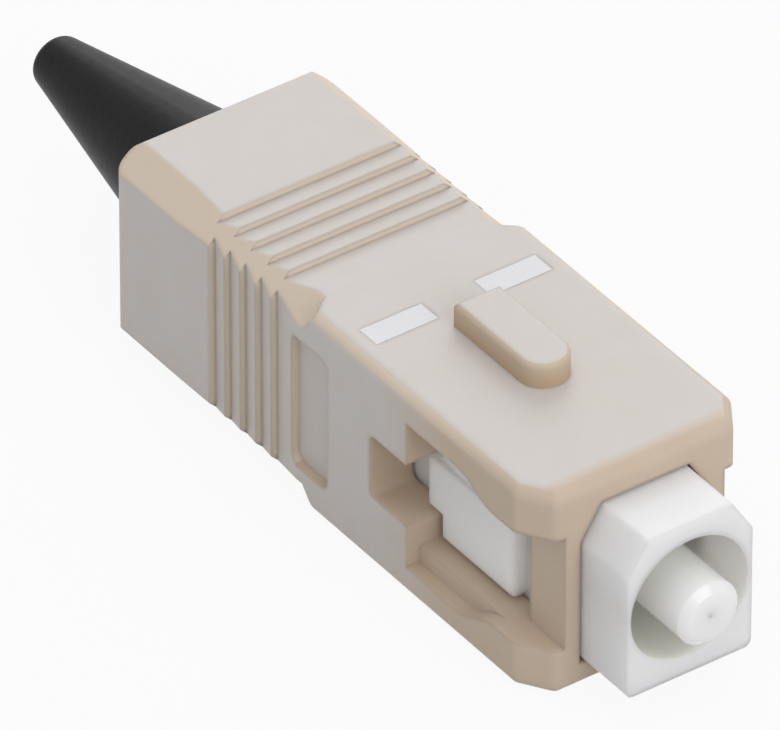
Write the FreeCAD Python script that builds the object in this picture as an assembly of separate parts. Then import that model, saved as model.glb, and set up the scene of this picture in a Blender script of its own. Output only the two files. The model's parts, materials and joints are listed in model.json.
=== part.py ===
"""SC fibre connector: a push-pull plug for one buffered fibre, built from its real pieces.

Everything is drawn about the ferrule's axis. Distances along the connector are measured from the
front plane of the outer housing, positive towards the boot, and heights from the housing's base.
At the end every piece is shifted along Y so that the origin lies under the middle of the whole
connector, on the surface that it rests on. Units are millimetres.
"""
import FreeCAD, Part
import math
import os

Vector = FreeCAD.Vector

# ---------------------------------------------------------------- driving dimensions
# outer housing
HOUSING_WIDTH = 9.0
HOUSING_HEIGHT = 8.5
HOUSING_LENGTH = 24.7
HOUSING_EDGE_RADIUS = 0.5
FRONT_CORNER_WIDTH = 0.85
FRONT_CORNER_LENGTH = 1.3
FRONT_CORNER_BLEND = 0.35
GRIP_FACET_WIDTH = 1.0
GRIP_FACET_HEIGHT = 0.95
GRIP_FACET_START = 13.6
GRIP_FACET_RUNOUT = 0.8

# finger grip: a shallow scoop with steps that face the front, on all four sides
GRIP_RAMP_LENGTH = 1.9
GRIP_STEP_HEIGHT = 0.26
GRIP_STEP_SINK = 0.08
SIDE_STEP_REAR = 19.2
SIDE_STEP_PITCH = 0.92
SIDE_STEP_COUNT = 5
TOP_STEP_REAR = 19.5
TOP_STEP_PITCH = 0.98
TOP_STEP_COUNT = 5
GRIP_RUNOUT_LENGTH = 1.6
SIDE_POCKET_FRONT = 12.1
SIDE_POCKET_REAR = 14.3
SIDE_POCKET_HEIGHT = 5.5
SIDE_POCKET_DEPTH = 0.38
SIDE_POCKET_CORNER_RADIUS = 0.4

# key and engagement marks on the top face
KEY_WIDTH = 1.9
KEY_FRONT = 4.95
KEY_REAR = 9.7
KEY_HEIGHT = 1.0
KEY_EDGE_RADIUS = 0.2
MARK_INNER_EDGE = 1.1
MARK_OUTER_EDGE = 3.65
MARK_FRONT = 10.4
MARK_LENGTH = 1.0
MARK_THICKNESS = 0.15

# side windows for the two hooks of the adapter
HOOK_CHANNEL_HEIGHT = 4.7
HOOK_CHANNEL_REAR = 7.5
BRIDGE_LENGTH = 2.0
BRIDGE_THICKNESS = 0.63
REBATE_HEIGHT = 6.1
REBATE_DEPTH = 0.56
REBATE_FRONT = 4.2
REBATE_SLOPE_LENGTH = 1.3
REBATE_SLOPE_BLEND = 2.0
CLAW_WINDOW_HEIGHT = 2.6
CLAW_WINDOW_REAR = 9.65
CLAW_WINDOW_CORNER_RADIUS = 0.3

# plug frame
FRAME_WIDTH = 5.2
FRAME_HEIGHT = 6.35
FRAME_FRONT = -2.55
FRAME_LENGTH = 19.05
FRAME_TOP_CHAMFER_WIDTH = 0.85
FRAME_TOP_CHAMFER_HEIGHT = 1.35
FRAME_FRONT_ROUND = 0.3
FRAME_CLEARANCE = 0.07
FRAME_FRONT_WALL = 0.175
FRAME_FRONT_BORE_DEPTH = 6.6
FRAME_CAVITY_WALL = 0.25
FRAME_SHOULDER_THICKNESS = 1.0
SHOULDER_FERRULE_CLEARANCE = 0.2
LATCH_FRONT = 3.1
LATCH_REAR = 7.2
LATCH_HEIGHT = 4.3
LATCH_TONGUE_LENGTH = 0.8
LATCH_TONGUE_HEIGHT = 2.4
LATCH_RISE = 0.7
LATCH_EDGE_ROUND = 0.25
LATCH_GROOVE_OFFSET = 1.0
LATCH_GROOVE_HEIGHT = 0.35
LATCH_GROOVE_DEPTH = 0.15
LATCH_GROOVE_FRONT = 4.9
SNAP_WINDOW_SETBACK = 0.9
SNAP_WINDOW_LENGTH = 1.2
SNAP_WINDOW_HEIGHT = 2.4

# ferrule group
FERRULE_DIAMETER = 2.499
FERRULE_LENGTH = 10.5
FERRULE_PROTRUSION = 1.3
FERRULE_TIP_CHAMFER = 0.28
FIBRE_BORE = 0.126
FIBRE_LEAD_IN = 0.9
FIBRE_LEAD_IN_LENGTH = 1.0
FLANGE_LENGTH = 2.0
FLANGE_CHAMFER = 0.35
FLANGE_NOTCH_WIDTH = 0.8
FLANGE_NOTCH_DEPTH = 0.4
FLANGE_CAVITY_CLEARANCE = 0.15
FLANGE_TAIL_DIAMETER = 2.6
FLANGE_TAIL_LENGTH = 4.2
LINER_DIAMETER = 1.6
LINER_BORE = 1.0
LINER_OVERHANG = 5.0
LINER_INSERTION = 3.6

# spring
SPRING_CAVITY_CLEARANCE = 0.35
SPRING_WIRE = 0.45
SPRING_TURNS = 6
SPRING_RUNS_PER_TURN = 16
SPRING_WIRE_SIDES = 8
SPRING_SEAT_GAP = 0.03

# rear body, which closes the plug frame and carries the boot
REAR_BODY_CLEARANCE = 0.05
REAR_BODY_INSERTION = 3.4
REAR_BODY_BORE = 2.9
REAR_COLLAR_DIAMETER = 5.2
REAR_COLLAR_LENGTH = 0.9
REAR_SNAP_RISE = 0.16
REAR_SNAP_GAP = 0.1
REAR_TAIL_DIAMETER = 3.8
REAR_TAIL_LENGTH = 5.4
REAR_TAIL_GROOVES = 5
REAR_TAIL_GROOVE_DEPTH = 0.15

# boot
BOOT_NECK_DIAMETER = 5.0
BOOT_FRONT_DIAMETER = 5.8
BOOT_CONE_SETBACK = 0.3
BOOT_CONE_LENGTH = 10.0
BOOT_TIP_DIAMETER = 1.95
BOOT_TIP_ROUND = 0.35
BOOT_SOCKET_END_WALL = 0.6
BOOT_BUFFER_BORE = 1.1
BOOT_REAR_CLEARANCE = 0.2

# how far every cutter runs past the face that it opens
OVERCUT = 1.0

# play left at the stops of the sliding pieces
STOP_GAP = 0.05
PASSAGE_END_GAP = 0.3
FLANGE_SEAT_GAP = 0.03
BOOT_COLLAR_GAP = 0.15

# ---------------------------------------------------------------- derived places
AXIS_Z = HOUSING_HEIGHT / 2
HALF_WIDTH = HOUSING_WIDTH / 2
FRAME_REAR = FRAME_FRONT + FRAME_LENGTH
FRAME_FRONT_BORE = FRAME_WIDTH - 2 * FRAME_FRONT_WALL
SNAP_WINDOW_REAR = FRAME_REAR - SNAP_WINDOW_SETBACK
SNAP_WINDOW_FRONT = SNAP_WINDOW_REAR - SNAP_WINDOW_LENGTH
PASSAGE_HALF_WIDTH = FRAME_WIDTH / 2 + FRAME_CLEARANCE
BRIDGE_FACE = PASSAGE_HALF_WIDTH + BRIDGE_THICKNESS
REBATE_FACE = HALF_WIDTH - REBATE_DEPTH
PLUG_TRAVEL_FORWARD = LATCH_FRONT - BRIDGE_LENGTH - STOP_GAP
PLUG_TRAVEL_REARWARD = HOOK_CHANNEL_REAR - LATCH_REAR - STOP_GAP
PASSAGE_REAR = FRAME_REAR + PLUG_TRAVEL_REARWARD + PASSAGE_END_GAP
SHOULDER_FRONT = FRAME_FRONT + FRAME_FRONT_BORE_DEPTH
SHOULDER_REAR = SHOULDER_FRONT + FRAME_SHOULDER_THICKNESS
FERRULE_TIP = FRAME_FRONT - FERRULE_PROTRUSION
FERRULE_REAR = FERRULE_TIP + FERRULE_LENGTH
FLANGE_FRONT = SHOULDER_REAR + FLANGE_SEAT_GAP
FLANGE_REAR = FLANGE_FRONT + FLANGE_LENGTH
CAVITY_DIAMETER = FRAME_WIDTH - 2 * FRAME_CAVITY_WALL
FLANGE_DIAMETER = CAVITY_DIAMETER - 2 * FLANGE_CAVITY_CLEARANCE
REAR_BODY_FRONT = FRAME_REAR - REAR_BODY_INSERTION
SPRING_OUTER_DIAMETER = CAVITY_DIAMETER - 2 * SPRING_CAVITY_CLEARANCE
SPRING_FRONT = FLANGE_REAR + SPRING_SEAT_GAP
SPRING_REAR = REAR_BODY_FRONT - SPRING_SEAT_GAP
SPRING_LENGTH = SPRING_REAR - SPRING_FRONT
TAIL_FRONT = FRAME_REAR + REAR_COLLAR_LENGTH
TAIL_REAR = TAIL_FRONT + REAR_TAIL_LENGTH
BOOT_FRONT = TAIL_FRONT
BOOT_COLLAR_FRONT = PASSAGE_REAR + PLUG_TRAVEL_FORWARD + BOOT_COLLAR_GAP
BOOT_SOCKET_REAR = TAIL_REAR + BOOT_SOCKET_END_WALL
BOOT_CONE_START = HOUSING_LENGTH + BOOT_CONE_SETBACK
BOOT_END = BOOT_CONE_START + BOOT_CONE_LENGTH
ORIGIN_Y = (FERRULE_TIP + BOOT_END) / 2


# ---------------------------------------------------------------- drawing helpers
def box(x_low, x_high, y_low, y_high, z_low, z_high):
    """Return a box from its six limits."""
    size = (x_high - x_low, y_high - y_low, z_high - z_low)
    return Part.makeBox(*size, Vector(x_low, y_low, z_low))


def rod(diameter, y_start, y_end):
    """Return a cylinder on the ferrule's axis."""
    return Part.makeCylinder(diameter / 2, y_end - y_start, Vector(0, y_start, AXIS_Z), Vector(0, 1, 0))


def polygon_prism(points, direction):
    """Extrude a closed polygon along a direction."""
    wire = Part.makePolygon([*points, points[0]])
    return Part.Face(wire).extrude(direction)


def pyramid(points, tip):
    """Return the pyramid over a polygon."""
    wire = Part.makePolygon([*points, points[0]])
    return Part.makeLoft([wire, Part.Vertex(tip)], True, True)


def revolve_outline(points):
    """Revolve a (distance along Y, radius) outline about the ferrule's axis."""
    wire = Part.makePolygon([Vector(0, y, AXIS_Z + radius) for y, radius in [*points, points[0]]])
    return Part.Face(wire).revolve(Vector(0, 0, AXIS_Z), Vector(0, 1, 0), 360)


def mirrored_x(shape):
    """Return the shape's mirror image on the other side."""
    return shape.mirror(Vector(0, 0, 0), Vector(1, 0, 0))


def mirrored_z(shape):
    """Return the shape's mirror image about the ferrule's axis plane."""
    return shape.mirror(Vector(0, 0, AXIS_Z), Vector(0, 0, 1))


def both_sides(shape):
    """Return the shape and its mirror image on the other side."""
    return [shape, mirrored_x(shape)]


def edges_where(shape, test):
    """Return the edges whose middle point passes the test."""
    chosen = []
    for edge in shape.Edges:
        middle = edge.valueAt((edge.FirstParameter + edge.LastParameter) / 2)
        if test(edge, middle):
            chosen.append(edge)
    return chosen


def is_near(value, target):
    """Tell whether two sizes are the same."""
    return abs(value - target) < 1e-4


# ---------------------------------------------------------------- outer housing
def frame_section(clearance):
    """Return the plug frame's outline, seen along the connector, grown by a clearance."""
    half_width = FRAME_WIDTH / 2 + clearance
    half_height = FRAME_HEIGHT / 2 + clearance
    chamfer_x = half_width - FRAME_TOP_CHAMFER_WIDTH
    chamfer_z = AXIS_Z + half_height - FRAME_TOP_CHAMFER_HEIGHT
    return [
        (-half_width, AXIS_Z - half_height),
        (half_width, AXIS_Z - half_height),
        (half_width, chamfer_z),
        (chamfer_x, AXIS_Z + half_height),
        (-chamfer_x, AXIS_Z + half_height),
        (-half_width, chamfer_z),
    ]


def section_prism(section, y_start, y_end):
    """Extrude an (x, z) outline along the connector."""
    points = [Vector(x, y_start, z) for x, z in section]
    return polygon_prism(points, Vector(0, y_end - y_start, 0))


def housing_block():
    """Return the rounded outer block, with its front corners cut back."""
    shoulder = HALF_WIDTH - FRONT_CORNER_WIDTH
    plan = [
        Vector(-shoulder, 0, 0),
        Vector(shoulder, 0, 0),
        Vector(HALF_WIDTH, FRONT_CORNER_LENGTH, 0),
        Vector(HALF_WIDTH, HOUSING_LENGTH, 0),
        Vector(-HALF_WIDTH, HOUSING_LENGTH, 0),
        Vector(-HALF_WIDTH, FRONT_CORNER_LENGTH, 0),
    ]
    block = polygon_prism(plan, Vector(0, 0, HOUSING_HEIGHT))
    uprights = edges_where(block, lambda edge, mid: is_near(mid.z, AXIS_Z))
    block = block.makeFillet(FRONT_CORNER_BLEND, uprights)
    rims = edges_where(block, lambda edge, mid: is_near(mid.z, 0) or is_near(mid.z, HOUSING_HEIGHT))
    return block.makeFillet(HOUSING_EDGE_RADIUS, rims)


def grip_facet_cutter():
    """Return what the flat facet takes off one long edge of the grip, with its run-out at the front."""
    corner = Vector(HALF_WIDTH, GRIP_FACET_START, HOUSING_HEIGHT)
    on_top = corner - Vector(GRIP_FACET_WIDTH, 0, 0)
    on_side = corner - Vector(0, 0, GRIP_FACET_HEIGHT)
    middle = (on_top + on_side) * 0.5
    triangle = [middle + (point - middle) * 2 for point in (corner, on_top, on_side)]
    prism = polygon_prism(triangle, Vector(0, HOUSING_LENGTH + OVERCUT - GRIP_FACET_START, 0))
    tip = triangle[0] - Vector(0, 2 * GRIP_FACET_RUNOUT, 0)
    return prism.fuse(pyramid(triangle, tip))


def grip_cutter(half_size, span, rear_step, pitch, count):
    """Return the scoop with its steps, as a cutter for the face at +half_size along local Z.

    The outline runs from the rear ramp down to the first step, then along each step's slope to the
    next wall, and leaves the grip at the front on a short run-out.
    """
    top_depth = GRIP_STEP_SINK
    low_depth = GRIP_STEP_SINK + GRIP_STEP_HEIGHT
    outline = [(rear_step + GRIP_RAMP_LENGTH, 0)]
    for index in range(count):
        wall = rear_step - index * pitch
        outline.append((wall, top_depth))
        outline.append((wall, low_depth))
    last_wall = rear_step - (count - 1) * pitch
    outline.append((last_wall - GRIP_RUNOUT_LENGTH, 0))
    high = half_size + OVERCUT
    points = [Vector(-span, y, half_size - depth) for y, depth in outline]
    points.append(Vector(-span, outline[-1][0], high))
    points.append(Vector(-span, outline[0][0], high))
    return polygon_prism(points, Vector(2 * span, 0, 0))


def grip_cutters():
    """Return the four scoops, each about the connector's axis."""
    centre = Vector(0, 0, AXIS_Z)
    cutters = []
    for quarter in range(4):
        sideways = quarter % 2 == 1
        if sideways:
            cutter = grip_cutter(HALF_WIDTH, AXIS_Z, SIDE_STEP_REAR, SIDE_STEP_PITCH, SIDE_STEP_COUNT)
        else:
            cutter = grip_cutter(AXIS_Z, HALF_WIDTH, TOP_STEP_REAR, TOP_STEP_PITCH, TOP_STEP_COUNT)
        cutter.translate(centre)
        cutter.rotate(centre, Vector(0, 1, 0), quarter * 90)
        cutters.append(cutter)
    return cutters


def hook_channel_cutter():
    """Return the opening for one adapter hook, on the +X side."""
    reach = HALF_WIDTH + OVERCUT
    channel_half = HOOK_CHANNEL_HEIGHT / 2
    claw_half = CLAW_WINDOW_HEIGHT / 2
    rebate_half = REBATE_HEIGHT / 2
    low, high = AXIS_Z - channel_half, AXIS_Z + channel_half
    over_bridge = box(BRIDGE_FACE, reach, -OVERCUT, BRIDGE_LENGTH, low, high)
    through = box(0, reach, BRIDGE_LENGTH, HOOK_CHANNEL_REAR, low, high)
    claw_low, claw_high = AXIS_Z - claw_half, AXIS_Z + claw_half
    claw = box(0, reach, HOOK_CHANNEL_REAR - OVERCUT, CLAW_WINDOW_REAR, claw_low, claw_high)
    rear = CLAW_WINDOW_REAR
    corners = edges_where(claw, lambda edge, mid: is_near(mid.y, rear) and is_near(mid.x, reach / 2))
    claw = claw.makeFillet(CLAW_WINDOW_CORNER_RADIUS, corners)
    slope_foot = REBATE_FRONT - REBATE_SLOPE_LENGTH
    rebate = polygon_prism([
        Vector(REBATE_FACE, -OVERCUT, low),
        Vector(REBATE_FACE, slope_foot, low),
        Vector(REBATE_FACE, REBATE_FRONT, AXIS_Z - rebate_half),
        Vector(REBATE_FACE, HOOK_CHANNEL_REAR, AXIS_Z - rebate_half),
        Vector(REBATE_FACE, HOOK_CHANNEL_REAR, AXIS_Z + rebate_half),
        Vector(REBATE_FACE, REBATE_FRONT, AXIS_Z + rebate_half),
        Vector(REBATE_FACE, slope_foot, high),
        Vector(REBATE_FACE, -OVERCUT, high),
    ], Vector(reach - REBATE_FACE, 0, 0))
    slope = (slope_foot, REBATE_FRONT)
    bends = edges_where(rebate, lambda edge, mid: any(is_near(mid.y, end) for end in slope))
    rebate = rebate.makeFillet(REBATE_SLOPE_BLEND, bends)
    return over_bridge.fuse([through, claw, rebate])


def side_pocket_cutter():
    """Return the shallow pocket ahead of the grip, on the +X side."""
    half = SIDE_POCKET_HEIGHT / 2
    face = HALF_WIDTH - SIDE_POCKET_DEPTH
    reach = HALF_WIDTH + OVERCUT
    pocket = box(face, reach, SIDE_POCKET_FRONT, SIDE_POCKET_REAR, AXIS_Z - half, AXIS_Z + half)
    corners = edges_where(pocket, lambda edge, mid: is_near(edge.Length, reach - face))
    return pocket.makeFillet(SIDE_POCKET_CORNER_RADIUS, corners)


def key():
    """Return the key: a bar with a round front end, sunk a little into the top."""
    radius = KEY_WIDTH / 2
    base = HOUSING_HEIGHT - HOUSING_EDGE_RADIUS
    height = KEY_HEIGHT + HOUSING_EDGE_RADIUS
    nose_centre = Vector(0, KEY_FRONT + radius, base)
    bar = box(-radius, radius, nose_centre.y, KEY_REAR, base, base + height)
    nose = Part.makeCylinder(radius, height, nose_centre)
    body = bar.fuse(nose).removeSplitter()
    top = HOUSING_HEIGHT + KEY_HEIGHT
    return body.makeFillet(KEY_EDGE_RADIUS, edges_where(body, lambda edge, mid: is_near(mid.z, top)))


def mark_blocks():
    """Return the two flush engagement marks beside the line of the key."""
    low = HOUSING_HEIGHT - MARK_THICKNESS
    rear = MARK_FRONT + MARK_LENGTH
    return both_sides(box(MARK_INNER_EDGE, MARK_OUTER_EDGE, MARK_FRONT, rear, low, HOUSING_HEIGHT))


def outer_housing():
    """Return the moulded outer housing with its passage, windows, grip and key."""
    body = housing_block()
    facet = grip_facet_cutter()
    facets = [*both_sides(facet), *both_sides(mirrored_z(facet))]
    body = body.cut(facets)
    body = body.cut(grip_cutters())
    body = body.fuse(key())
    passage = section_prism(frame_section(FRAME_CLEARANCE), -OVERCUT, PASSAGE_REAR)
    hole_diameter = BOOT_FRONT_DIAMETER + 2 * BOOT_REAR_CLEARANCE
    rear_hole = rod(hole_diameter, PASSAGE_REAR - OVERCUT, HOUSING_LENGTH + OVERCUT)
    body = body.cut([passage, rear_hole])
    body = body.cut(both_sides(hook_channel_cutter()))
    body = body.cut(both_sides(side_pocket_cutter()))
    return body.cut(mark_blocks()).removeSplitter()


def engagement_marks():
    """Return the white marks that show whether the plug is fully home."""
    return Part.makeCompound(mark_blocks())


# ---------------------------------------------------------------- plug frame
def latch_bump():
    """Return the shoulder on the +X side that an adapter hook snaps behind."""
    half = LATCH_HEIGHT / 2
    root = FRAME_WIDTH / 2 - LATCH_EDGE_ROUND
    face = FRAME_WIDTH / 2 + LATCH_RISE
    bump = box(root, face, LATCH_FRONT, LATCH_REAR, AXIS_Z - half, AXIS_Z + half)
    half = LATCH_TONGUE_HEIGHT / 2
    tongue_rear = LATCH_REAR + LATCH_TONGUE_LENGTH
    bump = bump.fuse(box(root, face, LATCH_FRONT, tongue_rear, AXIS_Z - half, AXIS_Z + half)).removeSplitter()
    bump = bump.makeFillet(LATCH_EDGE_ROUND, edges_where(bump, lambda edge, mid: is_near(mid.x, face)))
    groove_low = AXIS_Z + LATCH_GROOVE_OFFSET
    groove_high = groove_low + LATCH_GROOVE_HEIGHT
    groove_floor = face - LATCH_GROOVE_DEPTH
    groove_rear = tongue_rear + OVERCUT
    reach = face + OVERCUT
    return bump.cut(box(groove_floor, reach, LATCH_GROOVE_FRONT, groove_rear, groove_low, groove_high))


def plug_frame():
    """Return the white plug frame with its front bore, ferrule shoulder and latch shoulders."""
    body = section_prism(frame_section(0), FRAME_FRONT, FRAME_REAR)
    side = FRAME_WIDTH / 2
    long_enough = FRAME_LENGTH / 2
    corners = edges_where(body, lambda edge, mid: is_near(abs(mid.x), side) and edge.Length > long_enough)
    body = body.makeFillet(FRAME_FRONT_ROUND, corners)
    body = body.fuse(both_sides(latch_bump()))
    front_bore = rod(FRAME_FRONT_BORE, FRAME_FRONT - OVERCUT, SHOULDER_FRONT)
    hole_diameter = FERRULE_DIAMETER + 2 * SHOULDER_FERRULE_CLEARANCE
    ferrule_hole = rod(hole_diameter, SHOULDER_FRONT - OVERCUT, SHOULDER_REAR + OVERCUT)
    cavity = rod(CAVITY_DIAMETER, SHOULDER_REAR, FRAME_REAR + OVERCUT)
    body = body.cut([front_bore, ferrule_hole, cavity])
    half = SNAP_WINDOW_HEIGHT / 2
    reach = side + OVERCUT
    snap_windows = box(-reach, reach, SNAP_WINDOW_FRONT, SNAP_WINDOW_REAR, AXIS_Z - half, AXIS_Z + half)
    return body.cut(snap_windows)


# ---------------------------------------------------------------- ferrule group
def ferrule():
    """Return the ceramic ferrule with its chamfered tip and fibre bore."""
    radius = FERRULE_DIAMETER / 2
    lead_start = FERRULE_REAR - FIBRE_LEAD_IN_LENGTH
    return revolve_outline([
        (FERRULE_TIP, FIBRE_BORE / 2),
        (FERRULE_TIP, radius - FERRULE_TIP_CHAMFER),
        (FERRULE_TIP + FERRULE_TIP_CHAMFER, radius),
        (FERRULE_REAR, radius),
        (FERRULE_REAR, FIBRE_LEAD_IN / 2),
        (lead_start, FIBRE_BORE / 2),
    ])


def ferrule_flange():
    """Return the metal flange that holds the ferrule and takes the spring's thrust."""
    collar = rod(FLANGE_DIAMETER, FLANGE_FRONT, FLANGE_REAR)
    front_rim = edges_where(collar, lambda edge, mid: is_near(mid.y, FLANGE_FRONT))
    collar = collar.makeChamfer(FLANGE_CHAMFER, front_rim)
    body = collar.fuse(rod(FLANGE_TAIL_DIAMETER, FLANGE_FRONT, FLANGE_REAR + FLANGE_TAIL_LENGTH))
    notch_floor = FLANGE_DIAMETER / 2 - FLANGE_NOTCH_DEPTH
    half = FLANGE_NOTCH_WIDTH / 2
    notch_front = FLANGE_FRONT - OVERCUT
    notch = box(notch_floor, FLANGE_DIAMETER, notch_front, FLANGE_REAR, AXIS_Z - half, AXIS_Z + half)
    for quarter in range(4):
        turned = notch.copy()
        turned.rotate(Vector(0, 0, AXIS_Z), Vector(0, 1, 0), quarter * 90)
        body = body.cut(turned)
    tail_end = FLANGE_REAR + FLANGE_TAIL_LENGTH
    socket = rod(FERRULE_DIAMETER, FLANGE_FRONT - OVERCUT, FERRULE_REAR)
    liner_bore = rod(LINER_DIAMETER, tail_end - LINER_INSERTION, tail_end + OVERCUT)
    passage = rod(LINER_BORE, FLANGE_FRONT, tail_end + OVERCUT)
    return body.cut([socket, liner_bore, passage])


def flange_liner():
    """Return the soft tube that leads the buffered fibre into the flange."""
    tail_end = FLANGE_REAR + FLANGE_TAIL_LENGTH
    start = tail_end - LINER_INSERTION
    end = tail_end + LINER_OVERHANG
    return rod(LINER_DIAMETER, start, end).cut(rod(LINER_BORE, start - OVERCUT, end + OVERCUT))


def ferrule_spring():
    """Return the coil spring between the flange and the rear body, as short straight runs of wire."""
    coil_radius = (SPRING_OUTER_DIAMETER - SPRING_WIRE) / 2
    rise = SPRING_LENGTH - SPRING_WIRE
    start = SPRING_FRONT + SPRING_WIRE / 2
    runs = SPRING_TURNS * SPRING_RUNS_PER_TURN
    points = []
    for index in range(runs + 1):
        angle = 2 * math.pi * index / SPRING_RUNS_PER_TURN
        across = Vector(coil_radius * math.cos(angle), 0, coil_radius * math.sin(angle))
        points.append(Vector(0, start + rise * index / runs, AXIS_Z) + across)
    path = Part.makePolygon(points)
    wire_ring = Part.makeCircle(SPRING_WIRE / 2, points[0], points[1] - points[0])
    corners = wire_ring.discretize(SPRING_WIRE_SIDES + 1)
    section = Part.makePolygon(corners)
    return path.makePipeShell([section], True, False, 1)


# ---------------------------------------------------------------- rear body and boot
def rear_body():
    """Return the rear body: a plug that snaps into the frame, with a ribbed tail for the boot."""
    barrel_radius = CAVITY_DIAMETER / 2 - REAR_BODY_CLEARANCE
    tail_radius = REAR_TAIL_DIAMETER / 2
    groove_radius = tail_radius - REAR_TAIL_GROOVE_DEPTH
    outline = [
        (REAR_BODY_FRONT, REAR_BODY_BORE / 2),
        (REAR_BODY_FRONT, barrel_radius),
        (FRAME_REAR, barrel_radius),
        (FRAME_REAR, REAR_COLLAR_DIAMETER / 2),
        (TAIL_FRONT, REAR_COLLAR_DIAMETER / 2),
    ]
    step = REAR_TAIL_LENGTH / (2 * REAR_TAIL_GROOVES + 1)
    for index in range(REAR_TAIL_GROOVES):
        start = TAIL_FRONT + (2 * index + 1) * step
        outline.append((start - step, tail_radius))
        outline.append((start, tail_radius))
        outline.append((start, groove_radius))
        outline.append((start + step, groove_radius))
    outline.append((TAIL_REAR - step, tail_radius))
    outline.append((TAIL_REAR, tail_radius))
    outline.append((TAIL_REAR, REAR_BODY_BORE / 2))
    body = revolve_outline(outline)
    snap_front = SNAP_WINDOW_FRONT + REAR_SNAP_GAP
    snap_rear = SNAP_WINDOW_REAR - REAR_SNAP_GAP
    half = SNAP_WINDOW_HEIGHT / 2 - REAR_SNAP_GAP
    ring = rod(2 * (barrel_radius + REAR_SNAP_RISE), snap_front, snap_rear)
    ring = ring.cut(rod(2 * barrel_radius - REAR_SNAP_RISE, snap_front - OVERCUT, snap_rear + OVERCUT))
    reach = FRAME_WIDTH
    ears = ring.common(box(-reach, reach, snap_front, snap_rear, AXIS_Z - half, AXIS_Z + half))
    return body.fuse(ears)


def boot():
    """Return the flexible boot: a straight collar inside the housing, then a smooth cone."""
    front_radius = BOOT_FRONT_DIAMETER / 2
    tip_radius = BOOT_TIP_DIAMETER / 2
    body = revolve_outline([
        (BOOT_FRONT, REAR_TAIL_DIAMETER / 2),
        (BOOT_FRONT, BOOT_NECK_DIAMETER / 2),
        (BOOT_COLLAR_FRONT, BOOT_NECK_DIAMETER / 2),
        (BOOT_COLLAR_FRONT, front_radius),
        (BOOT_CONE_START, front_radius),
        (BOOT_END, tip_radius),
        (BOOT_END, BOOT_BUFFER_BORE / 2),
        (BOOT_SOCKET_REAR, BOOT_BUFFER_BORE / 2),
        (TAIL_REAR, REAR_TAIL_DIAMETER / 2),
    ])
    tip = edges_where(body, lambda edge, mid: is_near(mid.y, BOOT_END) and edge.Length > math.pi * tip_radius)
    rim = [edge for edge in tip if is_near(edge.Length, 2 * math.pi * tip_radius)]
    return body.makeFillet(BOOT_TIP_ROUND, rim)


# ---------------------------------------------------------------- output
PIECES = {
    "outer_housing": outer_housing,
    "engagement_marks": engagement_marks,
    "plug_frame": plug_frame,
    "ferrule": ferrule,
    "ferrule_flange": ferrule_flange,
    "flange_liner": flange_liner,
    "ferrule_spring": ferrule_spring,
    "rear_body": rear_body,
    "boot": boot,
}


def main():
    """Build every piece, shift it to the part's own origin and write it as STEP."""
    os.makedirs("parts", exist_ok=True)
    for name, make in PIECES.items():
        shape = make()
        shape.translate(Vector(0, -ORIGIN_Y, 0))
        shape.exportStep(f"parts/{name}.step")
        limits = shape.BoundBox
        print(f"{name}: solids {len(shape.Solids)}, volume {shape.Volume:.3f}, valid {shape.isValid()}, "
              f"Y {limits.YMin:.2f} to {limits.YMax:.2f}, Z {limits.ZMin:.2f} to {limits.ZMax:.2f}")


main()
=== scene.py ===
"""The look of an SC fibre connector: moulded plastics, white ceramic and a dark boot, softly lit.

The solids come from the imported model. This file gives each of them its finish, rebuilds the coil
spring as a smooth wire, and sets the floor, the lights and the camera. Lengths are in metres.
The connector's front looks towards -Y and its key towards +Z.
"""
from __future__ import annotations

import json
import logging
import math
from dataclasses import dataclass
from enum import Enum, IntEnum
from typing import Any

import bpy
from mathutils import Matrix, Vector

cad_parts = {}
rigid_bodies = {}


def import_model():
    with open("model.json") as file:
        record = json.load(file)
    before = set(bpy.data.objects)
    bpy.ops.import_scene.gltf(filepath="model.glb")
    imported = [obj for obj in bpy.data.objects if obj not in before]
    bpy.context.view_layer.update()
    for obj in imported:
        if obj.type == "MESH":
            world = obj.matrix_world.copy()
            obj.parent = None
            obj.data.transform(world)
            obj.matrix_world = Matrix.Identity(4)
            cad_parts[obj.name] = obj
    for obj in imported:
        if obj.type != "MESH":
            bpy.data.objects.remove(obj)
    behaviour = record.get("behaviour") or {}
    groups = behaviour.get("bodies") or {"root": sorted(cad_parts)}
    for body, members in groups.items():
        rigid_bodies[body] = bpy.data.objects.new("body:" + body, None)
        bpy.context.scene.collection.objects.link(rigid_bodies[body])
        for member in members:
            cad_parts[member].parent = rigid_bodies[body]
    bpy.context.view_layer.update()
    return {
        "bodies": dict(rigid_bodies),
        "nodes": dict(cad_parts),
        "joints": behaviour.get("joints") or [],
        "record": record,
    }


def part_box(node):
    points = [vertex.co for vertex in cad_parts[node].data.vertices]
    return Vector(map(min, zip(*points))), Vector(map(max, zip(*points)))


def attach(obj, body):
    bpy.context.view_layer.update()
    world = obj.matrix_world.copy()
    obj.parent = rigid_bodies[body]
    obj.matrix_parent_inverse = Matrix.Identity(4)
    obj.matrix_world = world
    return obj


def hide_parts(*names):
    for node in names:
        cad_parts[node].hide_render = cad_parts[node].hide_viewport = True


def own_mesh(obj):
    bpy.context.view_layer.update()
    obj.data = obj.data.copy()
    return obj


LOG = logging.getLogger("connector")
MM = 0.001
WHITE = (1.0, 1.0, 1.0, 1.0)

# The curve between display colours and linear ones.
CURVE_KNEE = 0.04045
CURVE_SLOPE = 12.92
CURVE_OFFSET = 0.055
CURVE_POWER = 2.4

# How fine the noise of skins and of clouds is, and the value it varies about.
SKIN_DETAIL = 4.0
CLOUD_DETAIL = 3.0
NOISE_MEAN = 0.5

Tone = tuple[int, int, int]
Colour = tuple[float, float, float, float]
Pair = tuple[float, float]
Triple = tuple[float, float, float]


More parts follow.
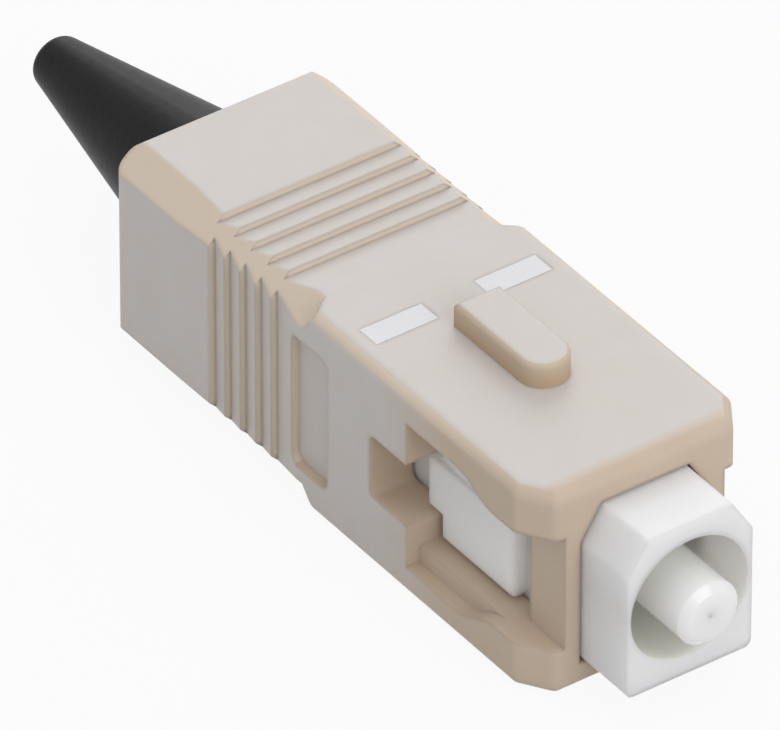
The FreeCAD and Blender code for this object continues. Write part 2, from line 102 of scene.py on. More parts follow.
class Slot(Enum):
    """The record's material slots."""

    HOUSING = "housing_plastic"
    MARKS = "mark_white"
    FRAME = "frame_white"
    CERAMIC = "ceramic_white"
    FLANGE = "flange_metal"
    LINER = "liner_plastic"
    SPRING = "spring_steel"
    REAR = "rear_metal"
    BOOT = "boot_rubber"


class Axis(IntEnum):
    """The connector's directions, as a vector numbers them."""

    ACROSS = 0
    ALONG = 1
    UP = 2


def linear(tone: Tone) -> Colour:
    """Turn a display colour into the shader's own linear colour.

    Args:
        tone: Display red, green and blue, each 0 to 255.

    Returns:
        The linear colour with full alpha.
    """
    def channel(value: int) -> float:
        """Turn one display channel into a linear one."""
        share = value / 255
        if share <= CURVE_KNEE:
            return share / CURVE_SLOPE
        return ((share + CURVE_OFFSET) / (1 + CURVE_OFFSET)) ** CURVE_POWER

    red, green, blue = (channel(value) for value in tone)
    return red, green, blue, 1.0


class Wire:
    """A node's output socket that maths operators work on."""

    def __init__(self, sheet: NodeSheet, socket: bpy.types.NodeSocket) -> None:
        """Keep the socket and the sheet that it is on."""
        self.sheet = sheet
        self.socket = socket

    def _maths(self, operation: str, first: Any, second: Any) -> Wire:
        """Add one Math node and return its result."""
        return self.sheet.node("ShaderNodeMath", {"operation": operation}, {0: first, 1: second})

    def __add__(self, other: Wire | float) -> Wire:
        """Return the sum."""
        return self._maths("ADD", self, other)

    __radd__ = __add__

    def __sub__(self, other: Wire | float) -> Wire:
        """Return the difference."""
        return self._maths("SUBTRACT", self, other)

    def __rsub__(self, other: float) -> Wire:
        """Return the difference from a number."""
        return self._maths("SUBTRACT", other, self)

    def __mul__(self, other: Wire | float) -> Wire:
        """Return the product."""
        return self._maths("MULTIPLY", self, other)

    __rmul__ = __mul__


class NodeSheet:
    """A node tree, and short ways to add nodes to it."""

    # The Mix node's sockets for colours. Their names repeat, so they go by number.
    MIX_FACTOR, MIX_FIRST, MIX_SECOND, MIX_RESULT = 0, 6, 7, 2

    def __init__(self, tree: bpy.types.NodeTree) -> None:
        """Keep the tree."""
        self.tree = tree

    def node(self, kind: str, settings: dict[str, Any], values: dict[Any, Any], output: Any = 0) -> Wire:
        """Add a node of any kind.

        Args:
            kind: The node's type.
            settings: Attributes that are set before the sockets.
            values: Values or wires for the input sockets, by name or number.
            output: The output socket's name or number.

        Returns:
            The chosen output.
        """
        made = self.tree.nodes.new(kind)
        for key, value in settings.items():
            setattr(made, key, value)
        for key, value in values.items():
            self.feed(made.inputs[key], value)
        return Wire(self, made.outputs[output])

    def feed(self, socket: bpy.types.NodeSocket, value: Any) -> None:
        """Set an input socket to a value or link it to a wire.

        Args:
            socket: The input socket.
            value: A plain value or a wire.
        """
        if isinstance(value, Wire):
            self.tree.links.new(value.socket, socket)
        else:
            socket.default_value = value

    def place(self) -> Wire:
        """Return the place on the object, in metres."""
        return self.node("ShaderNodeTexCoord", {}, {}, "Object")

    def part(self, vector: Wire, axis: Axis) -> Wire:
        """Return a vector's part along one axis."""
        return self.node("ShaderNodeSeparateXYZ", {}, {"Vector": vector}, axis)

    def reach(self, vector: Wire, axis: Axis) -> Wire:
        """Return how far a vector goes along one axis, either way."""
        return self.node("ShaderNodeMath", {"operation": "ABSOLUTE"}, {0: self.part(vector, axis)})

    def spread(
        self, wire: Wire, low: float, high: float, to_low: float = 0.0, to_high: float = 1.0
    ) -> Wire:
        """Map a range of a wire to another range, clamped."""
        inputs = {"Value": wire, "From Min": low, "From Max": high, "To Min": to_low, "To Max": to_high}
        return self.node("ShaderNodeMapRange", {"clamp": True}, inputs)

    def beyond(self, distance: Wire, limit: float, blend: float) -> Wire:
        """Return 1 where a distance is past a limit, 0 where it is well short of it, blended between."""
        return self.spread(distance, limit - blend, limit + blend)

    def noise(self, size: float, detail: float = SKIN_DETAIL) -> Wire:
        """Return soft noise with features about as large as size."""
        inputs = {"Vector": self.place(), "Scale": 1 / size, "Detail": detail}
        return self.node("ShaderNodeTexNoise", {}, inputs, "Fac")

    def mix(self, factor: Wire | float, first: Any, second: Any) -> Wire:
        """Mix two colours."""
        inputs = {self.MIX_FACTOR: factor, self.MIX_FIRST: first, self.MIX_SECOND: second}
        return self.node("ShaderNodeMix", {"data_type": "RGBA"}, inputs, self.MIX_RESULT)

    def seen_directly(self) -> Wire:
        """Find the eye's own rays, and those that gloss or glass sends on.

        Returns:
            1 for such a ray and 0 for any other.
        """
        eye, gloss, glass = (
            self.node("ShaderNodeLightPath", {}, {}, f"Is {kind} Ray")
            for kind in ("Camera", "Glossy", "Transmission")
        )
        return self.node("ShaderNodeMath", {"operation": "MINIMUM"}, {0: eye + gloss + glass, 1: 1.0})


class ShaderSheet(NodeSheet):
    """A new material's node tree with its principled shader."""

    def __init__(self, name: str) -> None:
        """Create the material and find its shader.

        Args:
            name: The material's name.
        """
        self.material = bpy.data.materials.new(name)
        self.material.use_nodes = True
        super().__init__(self.material.node_tree)
        self.shader = self.tree.nodes["Principled BSDF"]

    def apply(self, values: dict[str, Any]) -> None:
        """Set or link the shader's sockets, by name."""
        for name, value in values.items():
            self.feed(self.shader.inputs[name], value)


@dataclass(frozen=True, kw_only=True)
class Finish:
    """A surface of one tone with a fine skin, and edges that look rounded.

    Attributes:
        name: The material's name.
        slot: The record's slot.
        colour: The display colour.
        roughness: Mean roughness.
        roughness_swing: How far the skin takes the roughness from one end to the other.
        skin_size: Size of the skin's texture.
        skin_height: Height of the skin's texture.
        edge: Radius that sharp edges look rounded to.
        edge_samples: How finely that rounding is worked out.
    """

    name: str
    slot: Slot
    colour: Tone
    roughness: float
    roughness_swing: float
    skin_size: float
    skin_height: float
    edge: float
    edge_samples: int

    def tint(self, sheet: ShaderSheet) -> Wire | Colour:
        """Return the colour, the same all over."""
        return linear(self.colour)

    def gloss(self) -> dict[str, Any]:
        """Return the shader's values that are the same all over, by socket."""
        return {}

    def build(self) -> bpy.types.Material:
        """Build the material.

        Returns:
            The finished material.
        """
        sheet = ShaderSheet(self.name)
        skin = sheet.noise(self.skin_size)
        rounded = sheet.node("ShaderNodeBevel", {"samples": self.edge_samples}, {"Radius": self.edge})
        relief = {"Height": skin, "Distance": self.skin_height, "Normal": rounded}
        sheet.apply(self.gloss())
        sheet.apply({
            "Base Color": self.tint(sheet),
            "Roughness": self.roughness + (skin - NOISE_MEAN) * self.roughness_swing,
            "Normal": sheet.node("ShaderNodeBump", {}, relief),
        })
        return sheet.material


@dataclass(frozen=True, kw_only=True)
class Metal(Finish):
    """A plated or drawn metal."""

    roughness_swing: float = 0.2
    skin_size: float = 0.08 * MM
    skin_height: float = 0.002 * MM
    edge_samples: int = 4

    def gloss(self) -> dict[str, Any]:
        """Return the shader's values that are the same all over, by socket."""
        return {"Metallic": 1.0}


@dataclass(frozen=True, kw_only=True)
class Moulded(Finish):
    """A moulded plastic, ceramic or rubber in two close tones.

    Attributes:
        shade: The display colour of its slightly darker clouds.
        cloud_size: Size of the clouds.
        cloud_span: Where in the clouds' noise the darker tone starts and is full.
        coat: Weight of a clear gloss over it.
        coat_roughness: Roughness of that gloss.
        scatter: Weight of light scattering under the surface.
        scatter_depth: How far that light goes.
        scatter_tone: How far its red, green and blue go, as shares of that.
        gleam: Specular level.
    """

    shade: Tone
    roughness_swing: float = 0.12
    edge_samples: int = 6
    cloud_size: float = 4.0 * MM
    cloud_span: Pair = (0.3, 0.7)
    coat: float = 0.0
    coat_roughness: float = 0.12
    scatter: float = 0.0
    scatter_depth: float = 0.4 * MM
    scatter_tone: Triple = (1.0, 0.95, 0.9)
    gleam: float = 0.5

    def tint(self, sheet: ShaderSheet) -> Wire:
        """Return the colour: two close tones in soft clouds."""
        clouds = sheet.spread(sheet.noise(self.cloud_size, CLOUD_DETAIL), *self.cloud_span)
        return sheet.mix(clouds, linear(self.colour), linear(self.shade))

    def gloss(self) -> dict[str, Any]:
        """Return the shader's values that are the same all over, by socket."""
        return {
            "Coat Weight": self.coat,
            "Coat Roughness": self.coat_roughness,
            "Specular IOR Level": self.gleam,
            "Subsurface Weight": self.scatter,
            "Subsurface Scale": self.scatter_depth,
            "Subsurface Radius": self.scatter_tone,
        }


class HousingGauge:
    """Measures on the housing's surface.

    Attributes:
        sheet: The tree that the measures are in.
        half: Half the size of the outer faces' box.
        offset: A point's place from the middle of that box.
        behind: How far the point is behind the front.
        turn: The direction in which the surface looks there.
        lengthwise: How much of that direction is along the housing.
    """

    def __init__(self, sheet: NodeSheet, low: Triple, high: Triple) -> None:
        """Add the nodes that measure.

        Args:
            sheet: The tree to add the nodes to.
            low: The lowest corner of the outer faces.
            high: Their highest corner.
        """
        self.sheet = sheet
        self.half = (Vector(high) - Vector(low)) / 2
        terms = {0: sheet.place(), 1: (Vector(low) + Vector(high)) / 2}
        self.offset = sheet.node("ShaderNodeVectorMath", {"operation": "SUBTRACT"}, terms)
        self.behind = sheet.part(self.offset, Axis.ALONG) + self.half.y
        self.turn = sheet.node("ShaderNodeTexCoord", {}, {}, "Normal")
        self.lengthwise = sheet.reach(self.turn, Axis.ALONG)


@dataclass(frozen=True)
class FaceMasks:
    """Masks about two opposite outer faces of the housing.

    Attributes:
        square: 1 where the surface looks straight out of them.
        clear: 1 where it doesn't look towards the faces beside them.
        skin: 1 close to them.
        margin: 1 within a facet's width of them.
        fade: How far the painted sheen has come in, from the front to the rear.
    """

    square: Wire
    clear: Wire
    skin: Wire
    margin: Wire
    fade: Wire


@dataclass(frozen=True, kw_only=True)
class HousingPlastic(Moulded):
    """The housing's beige: painted light on facets and steps, painted sheen outside, painted shade at
    the key.

    A test of a direction is the share of it that counts, and the blend of that share.

    Attributes:
        low: The lowest corner of the outer faces.
        high: Their highest corner, under the key.
        key_rise: How far the key stands above them.
        painted_facet_light_tone: The display colour of the painted light on the long facets and the
            walls of the grip steps.
        painted_sheen_tone: The display colour of the painted sheen on the top, sides and underside,
            paler and greyer than the beige.
        painted_foot_shade_tone: The display colour of the painted shade round the foot of the key.
        straight_out: Test for a surface that looks straight out of an outer face.
        towards_others: Test for one that looks towards the outer faces beside that one.
        off_facet: Test for one that looks along the housing more than a facet does.
        end_on: Test for one that looks straight along the housing.
        sheen_depth: How far below the outer faces the painted sheen reaches. Deeper recesses keep the
            darker beige, as painted shade.
        sheen_blend: Blend of that depth.
        edge_width: How far from the outer faces a facet reaches.
        soft_blend: Blend of that width and of the grip's two ends.
        side_fade: Where the painted sheen starts and is full on the sides, behind the front.
        top_fade: The same on the top and the underside.
        facet_fade: The same for the painted light on the facets.
        grip_span: Where the grip steps start and end, behind the front.
        rear_rim: Width of the rim at the rear that the painted sheen also covers.
        rim_blend: Blend of that width.
        foot_gap: How far above the top the key's foot starts, and its blend.
        sheen_patch_size: Size of the patches in the painted sheen.
        sheen_patch_span: Where in the patches' noise the painted sheen starts to be full and is full.
        sheen_patch_least: Share of the painted sheen where it is weakest.
    """

    low: Triple
    high: Triple
    key_rise: float
    # Painted light: a lighter, warmer beige on the long facets and the walls of the grip steps.
    painted_facet_light_tone: Tone = (218, 203, 185)
    # Painted sheen: a paler, greyer tone on the flat outer faces. The recesses keep the darker beige as
    # painted shade.
    painted_sheen_tone: Tone = (208, 202, 198)
    # Painted shade: a darker beige at the foot of the key's walls, fading out towards their top.
    painted_foot_shade_tone: Tone = (184, 158, 126)
    straight_out: Pair = (0.92, 0.03)
    towards_others: Pair = (0.3, 0.1)
    off_facet: Pair = (0.25, 0.05)
    end_on: Pair = (0.9, 0.05)
    sheen_depth: float = 0.45 * MM
    sheen_blend: float = 0.06 * MM
    edge_width: float = 1.3 * MM
    soft_blend: float = 0.1 * MM
    side_fade: Pair = (5.0 * MM, 9.0 * MM)
    top_fade: Pair = (0.4 * MM, 0.9 * MM)
    facet_fade: Pair = (1.0 * MM, 8.0 * MM)
    grip_span: Pair = (13.4 * MM, 21.0 * MM)
    rear_rim: float = 0.35 * MM
    rim_blend: float = 0.05 * MM
    foot_gap: Pair = (0.02 * MM, 0.01 * MM)
    sheen_patch_size: float = 1.6 * MM
    sheen_patch_span: Pair = (0.25, 0.6)
    sheen_patch_least: float = 0.85

    def masks(self, gauge: HousingGauge, axis: Axis, beside: Axis, fade: Pair) -> FaceMasks:
        """Make the masks of the two outer faces that look along one axis.

        Args:
            gauge: The measures.
            axis: The axis that the faces look along.
            beside: The axis that the faces beside them look along.
            fade: Where the painted sheen on them starts and is full, behind the front.

        Returns:
            The masks.
        """
        sheet = gauge.sheet
        distance = sheet.reach(gauge.offset, axis)
        limit = gauge.half[axis]
        return FaceMasks(
            square=sheet.beyond(sheet.reach(gauge.turn, axis), *self.straight_out),
            clear=1 - sheet.beyond(sheet.reach(gauge.turn, beside), *self.towards_others),
            skin=sheet.beyond(distance, limit - self.sheen_depth, self.sheen_blend),
            margin=sheet.beyond(distance, limit - self.edge_width, self.soft_blend),
            fade=sheet.spread(gauge.behind, *fade),
        )

    def lighter(self, gauge: HousingGauge, sides: FaceMasks, levels: FaceMasks) -> Wire:
        """Find the long facets and the walls of the grip steps, where light is painted on.

        Args:
            gauge: The measures.
            sides: The masks of the two sides.
            levels: The masks of the top and the underside.

        Returns:
            1 there and 0 elsewhere.
        """
        sheet = gauge.sheet
        facet = 1 - sheet.beyond(gauge.lengthwise, *self.off_facet)
        facet = facet * sheet.spread(gauge.behind, *self.facet_fade)
        for faces in (sides, levels):
            facet = facet * (1 - faces.square) * faces.margin
        started, ended = (sheet.beyond(gauge.behind, end, self.soft_blend) for end in self.grip_span)
        grip = started * (1 - ended)
        step = grip * (sides.skin + levels.skin) * (1 - (sides.square + levels.square))
        return facet + step

    def painted_sheen(self, gauge: HousingGauge, sides: FaceMasks, levels: FaceMasks) -> Wire:
        """Find the outer faces that get the painted sheen, and the rim at their rear.

        Args:
            gauge: The measures.
            sides: The masks of the two sides.
            levels: The masks of the top and the underside.

        Returns:
            How much a point is rubbed, in patches.
        """
        sheet = gauge.sheet
        rim = sheet.beyond(gauge.behind, 2 * gauge.half.y - self.rear_rim, self.rim_blend)
        rim = rim * (1 - sheet.beyond(gauge.lengthwise, *self.end_on))
        side, level = (
            (faces.square + rim * faces.clear) * faces.skin * faces.fade for faces in (sides, levels)
        )
        patches = sheet.spread(sheet.noise(self.sheen_patch_size), *self.sheen_patch_span, self.sheen_patch_least)
        return (side + level) * patches

    def foot(self, gauge: HousingGauge) -> Wire:
        """Find the walls of the key, for the painted shade at their foot.

        Args:
            gauge: The measures.

        Returns:
            1 at the foot of the walls, falling to 0 at their top.
        """
        sheet = gauge.sheet
        top = gauge.half.z
        gap, blend = self.foot_gap
        height = sheet.part(gauge.offset, Axis.UP)
        wall = (1 - sheet.reach(gauge.turn, Axis.UP)) * sheet.beyond(height, top + gap, blend)
        return wall * sheet.spread(height, top, top + self.key_rise, 1.0, 0.0)

    def tint(self, sheet: ShaderSheet) -> Wire:
        """Paint light on the facets and the steps, sheen on the outer faces and shade at the foot of the
        key.

        Args:
            sheet: The material's tree.

        Returns:
            The colour.
        """
        gauge = HousingGauge(sheet, self.low, self.high)
        sides = self.masks(gauge, Axis.ACROSS, Axis.UP, self.side_fade)
        levels = self.masks(gauge, Axis.UP, Axis.ACROSS, self.top_fade)
        beige = super().tint(sheet)
        # Painted light on the facets and the walls of the grip steps.
        moulded = sheet.mix(self.lighter(gauge, sides, levels), beige, linear(self.painted_facet_light_tone))
        # Painted sheen on the flat outer faces.
        sheen_painted = sheet.mix(self.painted_sheen(gauge, sides, levels), moulded, linear(self.painted_sheen_tone))
        # Painted shade at the foot of the key.
        return sheet.mix(self.foot(gauge), sheen_painted, linear(self.painted_foot_shade_tone))


@dataclass(frozen=True, kw_only=True)
class FramePlastic(Moulded):
    """The plug frame's white: plain on the exposed nose, with painted light under the housing and in the
    bore.

    Attributes:
        axis_height: Height of the bore's axis.
        bore_radius: Radius of the bore.
        cover: Where the housing starts to cover the frame.
        painted_cover_light: The display colour of the parts that the housing covers, brighter, as
            painted light in the housing's shade.
        painted_bore_light: The display colour inside the bore, a lighter cream white, as painted light
            in the bore's shade.
        bore_gap: How far outside the bore its tone ends, and its blend.
        cover_blend: Length over which the exposed tone gives way to the painted light.
    """

    axis_height: float
    bore_radius: float
    cover: float
    # Painted light: a brighter white on the parts in the housing's shade.
    painted_cover_light: Tone = (251, 251, 251)
    # Painted light: a lighter cream white inside the bore, which lies in shade.
    painted_bore_light: Tone = (251, 250, 238)
    bore_gap: Pair = (0.04 * MM, 0.03 * MM)
    cover_blend: float = 3.0 * MM

    def tint(self, sheet: ShaderSheet) -> Wire:
        """Colour the exposed nose, and paint light on the covered parts and in the bore.

        Args:
            sheet: The material's tree.

        Returns:
            The colour.
        """
        spot = sheet.place()
        across = {"X": sheet.part(spot, Axis.ACROSS), "Z": sheet.part(spot, Axis.UP) - self.axis_height}
        arm = sheet.node("ShaderNodeCombineXYZ", {}, across)
        radius = sheet.node("ShaderNodeVectorMath", {"operation": "LENGTH"}, {0: arm}, "Value")
        gap, blend = self.bore_gap
        inside = 1 - sheet.beyond(radius, self.bore_radius + gap, blend)
        covered = sheet.spread(sheet.part(spot, Axis.ALONG), self.cover, self.cover + self.cover_blend)
        # Painted light where the housing covers the frame.
        cover_lit = sheet.mix(covered, super().tint(sheet), linear(self.painted_cover_light))
        # Painted light inside the bore.
        return sheet.mix(inside, cover_lit, linear(self.painted_bore_light))


MARK_WHITE = Moulded(
    name="mark_white",
    slot=Slot.MARKS,
    colour=(228, 228, 231),
    shade=(223, 223, 226),
    roughness=0.55,
    skin_size=0.1 * MM,
    skin_height=0.003 * MM,
    edge=0.03 * MM,
)
CERAMIC = Moulded(
    name="white_ceramic",
    slot=Slot.CERAMIC,
    colour=(247, 246, 247),
    shade=(244, 243, 245),
    roughness=0.2,
    skin_size=0.2 * MM,
    skin_height=0.0005 * MM,
    edge=0.08 * MM,
    coat=0.3,
    scatter=1.0,
    scatter_depth=2.0 * MM,
)
LINER = Moulded(
    name="liner_plastic",
    slot=Slot.LINER,
    colour=(226, 226, 222),
    shade=(220, 220, 216),
    roughness=0.4,
    skin_size=0.15 * MM,
    skin_height=0.002 * MM,
    edge=0.05 * MM,
)
BOOT_BLACK = Moulded(
    name="boot_elastomer",
    slot=Slot.BOOT,
    colour=(22, 21, 22),
    shade=(17, 16, 17),
    roughness=0.38,
    skin_size=0.3 * MM,
    skin_height=0.01 * MM,
    edge=0.2 * MM,
    gleam=0.12,
)
FLANGE_NICKEL = Metal(
    name="flange_nickel", slot=Slot.FLANGE, colour=(206, 202, 192), roughness=0.25, edge=0.05 * MM)
REAR_NICKEL = Metal(
    name="rear_nickel", slot=Slot.REAR, colour=(200, 196, 188), roughness=0.28, edge=0.05 * MM)
SPRING_STEEL = Metal(
    name="spring_steel", slot=Slot.SPRING, colour=(190, 190, 192), roughness=0.3, edge=0.02 * MM)


def dress(node: str, finish: Finish, frame: dict[str, Any]) -> None:
    """Give a CAD node its finish.

    Args:
        node: The node's name.
        finish: The finish.
        frame: The loaded frame.
    """
    material = finish.build()
    for place in frame["nodes"][node].material_slots:
        place.material = material
    LOG.info("%s, in slot %s, is finished in %s", node, finish.slot.value, finish.name)


def vectors(box: Any) -> tuple[Vector, Vector]:
    """Turn a box's two corners into vectors."""
    low, high = box
    return Vector(low), Vector(high)


@dataclass
class Housing:
    """The outer housing and its engagement marks.

    Attributes:
        frame: The loaded frame.
    """

    frame: dict[str, Any]

    def build(self) -> None:
        """Dress the two nodes."""
        dress("outer_housing", self.plastic(), self.frame)
        dress("engagement_marks", MARK_WHITE, self.frame)

    def plastic(self) -> HousingPlastic:
        """Fit the beige to the outer faces: the marks lie flush with the top, under the key.

        Returns:
            The housing's finish.
        """
        low, high = vectors(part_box("outer_housing"))
        key_top = high.z
        high.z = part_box("engagement_marks")[1][2]
        return HousingPlastic(
            name="beige_moulding",
            slot=Slot.HOUSING,
            colour=(204, 186, 166),
            shade=(199, 180, 159),
            roughness=0.5,
            skin_size=0.12 * MM,
            skin_height=0.003 * MM,
            edge=0.3 * MM,
            scatter=0.15,
            scatter_tone=(1.0, 0.8, 0.6),
            low=tuple(low),
            high=tuple(high),
            key_rise=key_top - high.z,
        )


@dataclass
class Plug:
    """The plug frame, the rear body and the boot.

    Attributes:
        frame: The loaded frame.
        bore_diameter: Diameter of the plug frame's front bore.
    """

    frame: dict[str, Any]
    bore_diameter: float = 4.85 * MM

    def build(self) -> None:
        """Dress the three nodes."""
        dress("plug_frame", self.plastic(), self.frame)
        dress("rear_body", REAR_NICKEL, self.frame)
        dress("boot", BOOT_BLACK, self.frame)

    def plastic(self) -> FramePlastic:
        """Fit the white to the bore about the ferrule and to the front of the housing.

        Returns:
            The plug frame's finish.
        """
        low, high = vectors(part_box("ferrule"))
        return FramePlastic(
            name="white_moulding",
            slot=Slot.FRAME,
            colour=(236, 236, 238),
            shade=(233, 233, 235),
            roughness=0.42,
            skin_size=0.15 * MM,
            skin_height=0.002 * MM,
            edge=0.35 * MM,
            coat=0.1,
            scatter=0.8,
            scatter_depth=1.2 * MM,
            axis_height=(low.z + high.z) / 2,
            bore_radius=self.bore_diameter / 2,
            cover=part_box("outer_housing")[0][1],
        )


@dataclass
class FerruleGroup:
    """The ferrule, its flange, its liner and the spring behind them.

    Attributes:
        frame: The loaded frame.
        joint: The joint that the ferrule gives way on. Not used.
        wire_diameter: Diameter of the spring's wire.
        turns: How many turns the spring has.
        points_per_turn: How finely a turn is divided.
        wire_sides: How finely the wire's section is divided.
    """

    frame: dict[str, Any]
    joint: str = "ferrule_float"
    wire_diameter: float = 0.45 * MM
    turns: float = 6.0
    points_per_turn: int = 40
    wire_sides: int = 14

    def build(self) -> None:
        """Dress the three nodes and rebuild the spring."""
        dress("ferrule", CERAMIC, self.frame)
        dress("ferrule_flange", FLANGE_NICKEL, self.frame)
        dress("flange_liner", LINER, self.frame)
        low, high = vectors(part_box("ferrule_spring"))
        spring = self.spring(low, high)
        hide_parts("ferrule_spring")
        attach(spring, "plug")
        self.compress(spring)

    def spring(self, low: Vector, high: Vector) -> bpy.types.Object:
        """Wind the spring from smooth round wire in the room of its node.

        Args:
            low: The lowest corner of that room.
            high: Its highest corner.

        Returns:
            The spring as a plain mesh.
        """
        sizes = {
            "Turns": self.turns,
            "Coil Radius": (high.x - low.x - self.wire_diameter) / 2,
            "Rise": high.y - low.y - self.wire_diameter,
            "Wire Radius": self.wire_diameter / 2,
            "Points per Turn": self.points_per_turn,
            "Wire Sides": self.wire_sides,
            "Start": Vector((0, low.y + self.wire_diameter / 2, (low.z + high.z) / 2)),
        }
        LOG.info("ferrule_spring is wound with %.0f turns", self.turns)
        return CoilTree(SPRING_STEEL.build()).make("ferrule_spring_wire", sizes)

    def compress(self, spring: bpy.types.Object) -> None:
        """Give the spring its own copy of its mesh.

        Args:
            spring: The spring.
        """
        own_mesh(spring)


class CoilTree(NodeSheet):
    """A Geometry Nodes tree that sweeps a round wire along a coil about the Y axis."""

    SIZES = {
        "Turns": "NodeSocketFloat",
        "Coil Radius": "NodeSocketFloat",
        "Rise": "NodeSocketFloat",
        "Wire Radius": "NodeSocketFloat",
        "Points per Turn": "NodeSocketInt",
        "Wire Sides": "NodeSocketInt",
        "Start": "NodeSocketVector",
    }

    def __init__(self, finish: bpy.types.Material) -> None:
        """Build the tree.

        Args:
            finish: The wire's material.
        """
        super().__init__(bpy.data.node_groups.new("coil", "GeometryNodeTree"))
        face = self.tree.interface
        for name, kind in self.SIZES.items():
            face.new_socket(name=name, in_out="INPUT", socket_type=kind)
        face.new_socket(name="Geometry", in_out="OUTPUT", socket_type="NodeSocketGeometry")
        inputs = self.tree.nodes.new("NodeGroupInput")
        sizes = {name: Wire(self, inputs.outputs[name]) for name in self.SIZES}
        path = self.node("GeometryNodeCurveSpiral", {}, {
            "Resolution": sizes["Points per Turn"],
            "Rotations": sizes["Turns"],
            "Start Radius": sizes["Coil Radius"],
            "End Radius": sizes["Coil Radius"],
            "Height": sizes["Rise"],
            "Reverse": True,
        })
        section = self.node("GeometryNodeCurvePrimitiveCircle", {}, {
            "Resolution": sizes["Wire Sides"],
            "Radius": sizes["Wire Radius"],
        })
        swept = self.node("GeometryNodeCurveToMesh", {}, {
            "Curve": path,
            "Profile Curve": section,
            "Fill Caps": True,
        })
        laid = self.node("GeometryNodeTransform", {}, {
            "Geometry": swept,
            "Rotation": (-math.pi / 2, 0, 0),
            "Translation": sizes["Start"],
        })
        smooth = self.node("GeometryNodeSetShadeSmooth", {}, {"Geometry": laid, "Shade Smooth": True})
        real = self.node("GeometryNodeRealizeInstances", {}, {"Geometry": smooth})
        finished = self.node("GeometryNodeSetMaterial", {}, {"Geometry": real, "Material": finish})
        output = self.tree.nodes.new("NodeGroupOutput")
        self.feed(output.inputs["Geometry"], finished)

    def make(self, name: str, sizes: dict[str, Any]) -> bpy.types.Object:
        """Run the tree with the given sizes.

        Args:
            name: The new object's name.
            sizes: A value for each named input.

        Returns:
            An object with a plain mesh and no modifier.
        """
        holder = bpy.data.objects.new(name, bpy.data.meshes.new(name))
        bpy.context.collection.objects.link(holder)
        modifier = holder.modifiers.new("coil", "NODES")
        modifier.node_group = self.tree
        for item in self.tree.interface.items_tree:
            if item.in_out == "INPUT":
                modifier[item.identifier] = sizes[item.name]
        holder.update_tag()
        evaluated = holder.evaluated_get(bpy.context.evaluated_depsgraph_get())
        mesh = bpy.data.meshes.new_from_object(evaluated)
        holder.modifiers.clear()
        holder.data = mesh
        mesh.name = name
        return holder


@dataclass(frozen=True)
class Lamp:
    """A soft box.

    Attributes:
        name: Its name.
        place: Where it stands.
        size: Length of its square face.
        power: Its power in watts.
    """

    name: str
    place: Triple
    size: float
    power: float

    def build(self, target: Vector) -> None:
        """Add the soft box.

        Args:
            target: The point that it looks at.
        """
        lamp = bpy.data.lights.new(self.name, "AREA")
        lamp.size = self.size
        lamp.energy = self.power
        place = Vector(self.place)
        set_up(lamp, place, target - place)


def set_up(thing: bpy.types.Light | bpy.types.Camera, place: Vector, view: Vector) -> bpy.types.Object:
    """Put a lamp or a camera in the scene.

    Args:
        thing: The lamp or the camera.
        place: Where it stands.
        view: The direction in which it looks.

    Returns:
        Its object.
    """
    holder = bpy.data.objects.new(thing.name, thing)
    holder.location = place
    holder.rotation_euler = view.to_track_quat("-Z", "Y").to_euler()
    bpy.context.collection.objects.link(holder)
    return holder


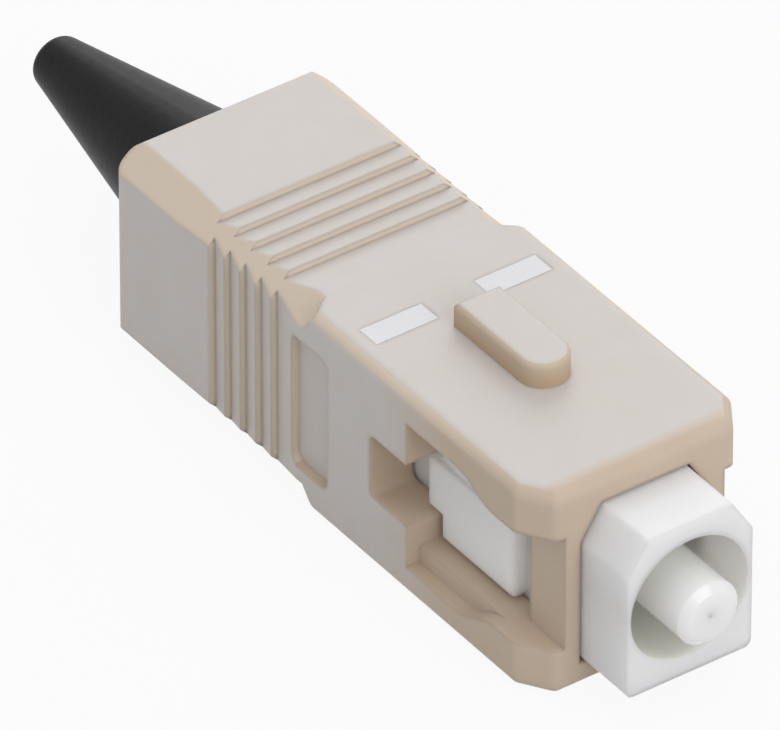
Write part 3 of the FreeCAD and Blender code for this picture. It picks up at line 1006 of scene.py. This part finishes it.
@dataclass
class Studio:
    """The floor, the lights and the camera.

    Attributes:
        azimuth: The camera's angle about the vertical, from the front.
        elevation: Its angle above the floor.
        distance: Its distance from the point that it looks at.
        lens: Its focal length in millimetres.
        sensor: The width of its sensor in millimetres.
        view_depth: How far it sees.
        aim: The point that it looks at.
        floor_size: Length of the floor's sides.
        floor_tone: The floor's own linear grey.
        floor_roughness: The floor's roughness.
        floor_glow: How much of the floor is plain white to the eye. The rest takes the shadow.
        sky: Strength of the surroundings' light on the connector.
        lamps: The soft boxes.
    """

    azimuth: float = math.radians(-35.4)
    elevation: float = math.radians(37.13)
    distance: float = 0.6129
    lens: float = 830.77
    sensor: float = 36.0
    view_depth: float = 10.0
    aim: Triple = (-0.0007, -0.0018, 0.00425)
    floor_size: float = 1.2
    floor_tone: float = 0.65
    floor_roughness: float = 0.9
    floor_glow: float = 0.92
    sky: float = 0.55
    lamps: tuple[Lamp, ...] = (
        Lamp("top_softbox", place=(-0.04, 0.02, 0.46), size=0.4, power=0.35),
        Lamp("back_softbox", place=(0.32, 0.38, 0.30), size=0.45, power=0.9),
        Lamp("front_softbox", place=(0.0, -0.47, 0.26), size=0.4, power=1.0),
    )

    def build(self) -> None:
        """Build the whole studio."""
        self.floor()
        self.surroundings()
        self.camera()
        for lamp in self.lamps:
            lamp.build(Vector(self.aim))

    def floor(self) -> None:
        """Lay a pale floor that looks almost white and still takes the shadow."""
        bpy.ops.mesh.primitive_plane_add(size=self.floor_size)
        floor = bpy.context.object
        floor.name = "studio_floor"
        sheet = ShaderSheet("pale_floor")
        sheet.apply({
            "Base Color": (self.floor_tone, self.floor_tone, self.floor_tone, 1.0),
            "Roughness": self.floor_roughness,
            "Specular IOR Level": 0.0,
        })
        layers = {
            0: sheet.seen_directly() * self.floor_glow,
            1: Wire(sheet, sheet.shader.outputs["BSDF"]),
            2: sheet.node("ShaderNodeEmission", {}, {"Color": WHITE, "Strength": 1.0}),
        }
        blended = sheet.node("ShaderNodeMixShader", {}, layers)
        sheet.feed(sheet.tree.nodes["Material Output"].inputs["Surface"], blended)
        floor.data.materials.append(sheet.material)

    def surroundings(self) -> None:
        """Set even surroundings that are white to the eye."""
        world = bpy.data.worlds.new("studio_world")
        bpy.context.scene.world = world
        world.use_nodes = True
        sheet = NodeSheet(world.node_tree)
        background = sheet.tree.nodes["Background"]
        sheet.feed(background.inputs["Color"], WHITE)
        sheet.feed(background.inputs["Strength"], self.sky + sheet.seen_directly() * (1 - self.sky))

    def camera(self) -> None:
        """Aim the camera at the connector."""
        direction = Vector((
            math.sin(self.azimuth) * math.cos(self.elevation),
            -math.cos(self.azimuth) * math.cos(self.elevation),
            math.sin(self.elevation),
        ))
        camera = bpy.data.cameras.new("camera")
        camera.lens = self.lens
        camera.sensor_width = self.sensor
        camera.clip_end = self.view_depth
        place = Vector(self.aim) + direction * self.distance
        bpy.context.scene.camera = set_up(camera, place, -direction)


def main() -> None:
    """Build the look of the whole connector."""
    logging.basicConfig(level=logging.INFO, format="%(name)s: %(message)s")
    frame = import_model()
    bpy.context.scene.view_settings.view_transform = "Standard"
    for assembly in (Housing(frame), Plug(frame), FerruleGroup(frame), Studio()):
        assembly.build()


if __name__ == "__main__":
    main()
